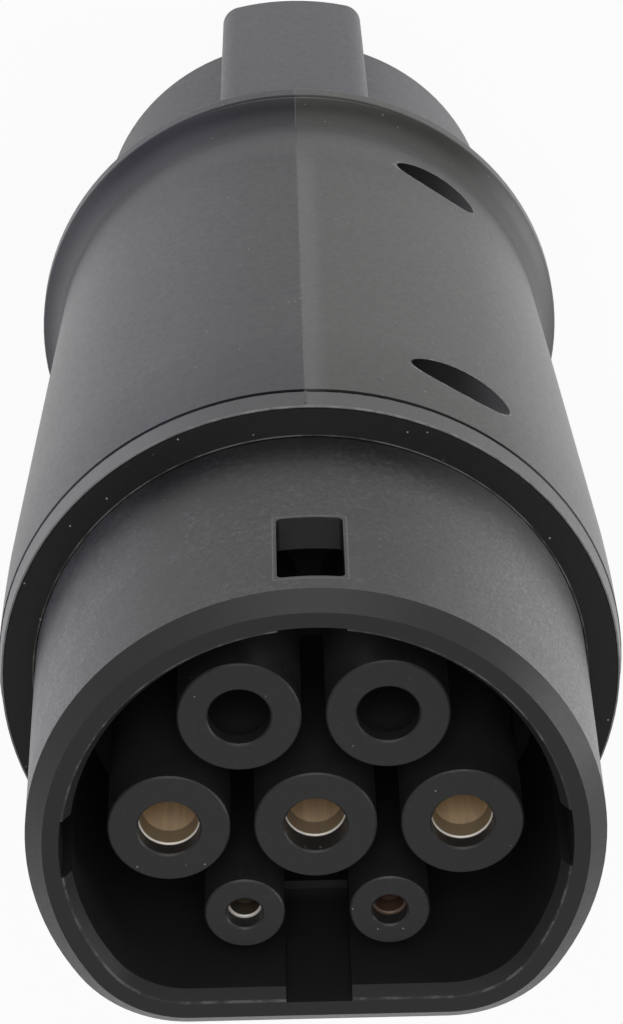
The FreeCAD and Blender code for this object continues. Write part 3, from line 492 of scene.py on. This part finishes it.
def contact_metal(node, colour, edge, rough):
    """A socket contact: a painted reflection on its front edge, a darker lead-in behind it and a brushed
    bore.
    """
    metallic = 0.25
    lead_in_depth = 2.0 * MM
    lead_in_colour = scaled(colour, 0.25)
    edge_width = 0.22 * MM
    edge_depth = 0.08 * MM
    fade = 0.08 * MM
    flatness = 0.01 * MM
    g = metal(node + "_brass", colour, rough, metallic)
    x, y, z = g.xyz()
    points = [v.co for v in nodes[node].data.vertices]
    front = max(point.z for point in points)
    face = [point for point in points if point.z > front - flatness]
    middle_x, middle_y = [(min(p[i] for p in face) + max(p[i] for p in face)) / 2 for i in (0, 1)]
    bore = min(math.hypot(point.x - middle_x, point.y - middle_y) for point in face)
    out = g.length(g.minus(x, middle_x), g.minus(y, middle_y))
    lead_in = g.rise(z, front - lead_in_depth - 0.2 * MM, front - lead_in_depth, end=0.85)
    g.tint(lead_in, lead_in_colour)
    # Painted reflection on the front edge
    inner = g.fall(out, bore + edge_width, bore + edge_width + fade)
    foremost = g.rise(z, front - edge_depth - fade, front - edge_depth)
    g.tint(g.times(inner, foremost), edge)
    return g


housing_left = housing_plastic("housing_left_grey", srgb(25, 24, 34), sheen=0.57)
housing_right = housing_plastic("housing_right_grey", srgb(38, 38, 35), sheen=0.7)
dark_plastic = moulded("dark_insulator", insulator_grey, dust=0.6, scuff=0.08)
flash_grey = moulded("seam_flash", srgb(78, 78, 80), rough=0.45, speckle=0.25)
plated = metal("plated_pin", srgb(205, 203, 196), rough=0.25)
steel = metal("screw_steel", srgb(150, 150, 155), rough=0.35)
# Brasses, each with the colour of the painted reflection on its contacts' front edges
power_brass = srgb(238, 212, 174)
power_edge_reflection = srgb(250, 245, 235)
pilot_brass = srgb(140, 108, 92)
pilot_edge_reflection = srgb(112, 92, 80)
proximity_brass = srgb(125, 115, 98)
proximity_edge_reflection = srgb(235, 230, 222)

looks = {
    "left_housing_half": housing_left,
    "right_housing_half": housing_right,
    "front_shroud": shroud_plastic(),
    "rear_inlet": inlet_plastic(),
    "face_seal": seal_rubber(),
    "contact_carrier": carrier_plastic(),
    "contact_retainer": dark_plastic,
    "inlet_insulator": dark_plastic,
    "pin_retainer": dark_plastic,
    "pilot_socket": contact_metal("pilot_socket", pilot_brass, pilot_edge_reflection, rough=0.4),
    "proximity_socket": contact_metal("proximity_socket", proximity_brass, proximity_edge_reflection, rough=0.4),
    "housing_screws": steel,
    "carrier_screws": steel,
    "inlet_screws": steel,
    "coding_resistor": moulded("resistor_coat", srgb(120, 160, 170), rough=0.35),
}
for name in ("line_socket", "neutral_socket", "earth_socket"):
    looks[name] = contact_metal(name, power_brass, power_edge_reflection, rough=0.36)
for name in ("line_spring", "neutral_spring", "earth_spring"):
    looks[name] = steel
jackets = {
    "line": srgb(96, 58, 38),
    "neutral": srgb(38, 72, 140),
    "earth": srgb(90, 140, 50),
    "pilot": srgb(205, 205, 198),
    "proximity": srgb(205, 205, 198),
}
for name, colour in jackets.items():
    looks[name + "_pin"] = plated
    looks[name + "_wire"] = moulded(name + "_wire_jacket", colour, rough=0.4)
for name, look in looks.items():
    materials = nodes[name].data.materials
    materials.clear()
    materials.append(look.material)


# Seam flash: the thin ridge left where the barrel's two halves meet, above and below
def barrel_height(z, up):
    """Distance from the axis to the barrel's surface at the seam, found by a ray from outside."""
    beside_seam = -0.05 * MM
    outside = 60 * MM
    start = Vector((beside_seam, up * outside, z))
    hit, place, _, _ = nodes["left_housing_half"].ray_cast(start, Vector((0, -up, 0)))
    return up * place.y if hit else None


def seam_flash(name, up, seed):
    """A low ridge with a triangular section, whose width and height change along the seam."""
    chance = random.Random(seed)
    step = 0.5 * MM
    start = lip_z + 0.6 * MM
    end = face_z - 0.3 * MM
    sink = 0.05 * MM
    least_half_width = 0.14 * MM
    width_change = 0.08 * MM
    least_height = 0.03 * MM
    least_growth = 0.03 * MM
    growth_change = 0.12 * MM
    sway = 0.03 * MM
    clearance = 0.02 * MM
    points, faces = [], []
    for i in range(int((end - start) / step) + 1):
        z = start + i * step
        height = barrel_height(z, up)
        if height is None:
            continue
        half_width = least_half_width + width_change * chance.random()
        growth = least_growth + growth_change * chance.random() ** 2
        ridge = least_height + growth * (z - start) / (end - start)
        shift = sway * (chance.random() - 0.5)
        top = min(height + ridge, cad_high[1] - clearance)
        base = len(points)
        points += [
            (shift - half_width, up * (height - sink), z),
            (shift, up * top, z),
            (shift + half_width, up * (height - sink), z),
        ]
        if base:
            a, b = base - 3, base
            faces += [(a, a + 1, b + 1, b), (a + 1, a + 2, b + 2, b + 1), (a + 2, a, b, b + 2)]
    last = len(points) - 3
    faces += [(2, 1, 0), (last, last + 1, last + 2)]
    mesh = bpy.data.meshes.new(name)
    mesh.from_pydata(points, [], faces)
    mesh.materials.append(flash_grey.material)
    piece = bpy.data.objects.new(name, mesh)
    scene.collection.objects.link(piece)
    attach(piece, "root")


seam_flash("seam_flash_top", up=1, seed=3)
seam_flash("seam_flash_bottom", up=-1, seed=4)


# Floor, white to the camera and in reflections, and holding the object's shadow
def make_floor():
    half = 3.0
    camera_share = 0.93
    paper = (0.9, 0.9, 0.9, 1)
    paper_roughness = 0.9
    paper_sheen = 0.1
    corners = [(-half, -half, 0), (half, -half, 0), (half, half, 0), (-half, half, 0)]
    mesh = bpy.data.meshes.new("floor")
    mesh.from_pydata(corners, [], [(0, 1, 2, 3)])
    floor = bpy.data.objects.new("floor", mesh)
    scene.collection.objects.link(floor)
    g = Graph("floor_paper")
    g.shader.inputs["Base Color"].default_value = paper
    g.shader.inputs["Roughness"].default_value = paper_roughness
    g.shader.inputs["Specular IOR Level"].default_value = paper_sheen
    glow = g.add("ShaderNodeEmission")
    path = g.add("ShaderNodeLightPath")
    mirrored = g.math("MAXIMUM", (path, "Is Glossy Ray"), (path, "Is Transmission Ray"))
    seen = g.times((path, "Is Camera Ray"), camera_share)
    blend = g.add("ShaderNodeMixShader")
    g.put(g.math("MAXIMUM", mirrored, seen), blend.inputs["Fac"])
    g.put((g.shader, "BSDF"), blend.inputs[1])
    g.put((glow, "Emission"), blend.inputs[2])
    g.put((blend, "Shader"), g.out.inputs["Surface"])
    mesh.materials.append(g.material)


make_floor()


# World: a room that is white at the horizon and dim overhead
def make_world():
    overhead = 0.34
    horizon = 1.0
    narrow = 14.0
    world = bpy.data.worlds.new("studio")
    scene.world = world
    world.use_nodes = True
    tree = world.node_tree
    tree.nodes.clear()
    out = tree.nodes.new("ShaderNodeOutputWorld")
    coords = tree.nodes.new("ShaderNodeTexCoord")
    split = tree.nodes.new("ShaderNodeSeparateXYZ")
    below = tree.nodes.new("ShaderNodeMath")
    fade = tree.nodes.new("ShaderNodeMath")
    level = tree.nodes.new("ShaderNodeMath")
    room = tree.nodes.new("ShaderNodeBackground")
    below.operation = "SUBTRACT"
    below.use_clamp = True
    below.inputs[0].default_value = 1.0
    fade.operation = "POWER"
    fade.inputs[1].default_value = narrow
    level.operation = "MULTIPLY_ADD"
    level.inputs[1].default_value = horizon - overhead
    level.inputs[2].default_value = overhead
    room.inputs["Color"].default_value = (1, 1, 1, 1)
    tree.links.new(coords.outputs["Generated"], split.inputs[0])
    tree.links.new(split.outputs["Z"], below.inputs[1])
    tree.links.new(below.outputs[0], fade.inputs[0])
    tree.links.new(fade.outputs[0], level.inputs[0])
    tree.links.new(level.outputs[0], room.inputs["Strength"])
    tree.links.new(room.outputs["Background"], out.inputs["Surface"])


make_world()


# Soft lamps, one low at the right and one above the hood's side
def soft_light(name, azimuth, elevation, power):
    middle = Vector((0, 0, 100 * MM))
    distance = 1.3
    across = 0.7
    data = bpy.data.lights.new(name, "AREA")
    data.shape = "RECTANGLE"
    data.size = across
    data.size_y = across
    data.energy = power
    light = bpy.data.objects.new(name, data)
    scene.collection.objects.link(light)
    a, e = math.radians(azimuth), math.radians(elevation)
    away = Vector((math.cos(a) * math.cos(e), math.sin(a) * math.cos(e), math.sin(e)))
    light.location = middle + distance * away
    light.rotation_mode = "QUATERNION"
    light.rotation_quaternion = (-away).to_track_quat("-Z", "Y")


soft_light("right_softbox", azimuth=0, elevation=10, power=3.8)
soft_light("upper_softbox", azimuth=90, elevation=58, power=6.4)
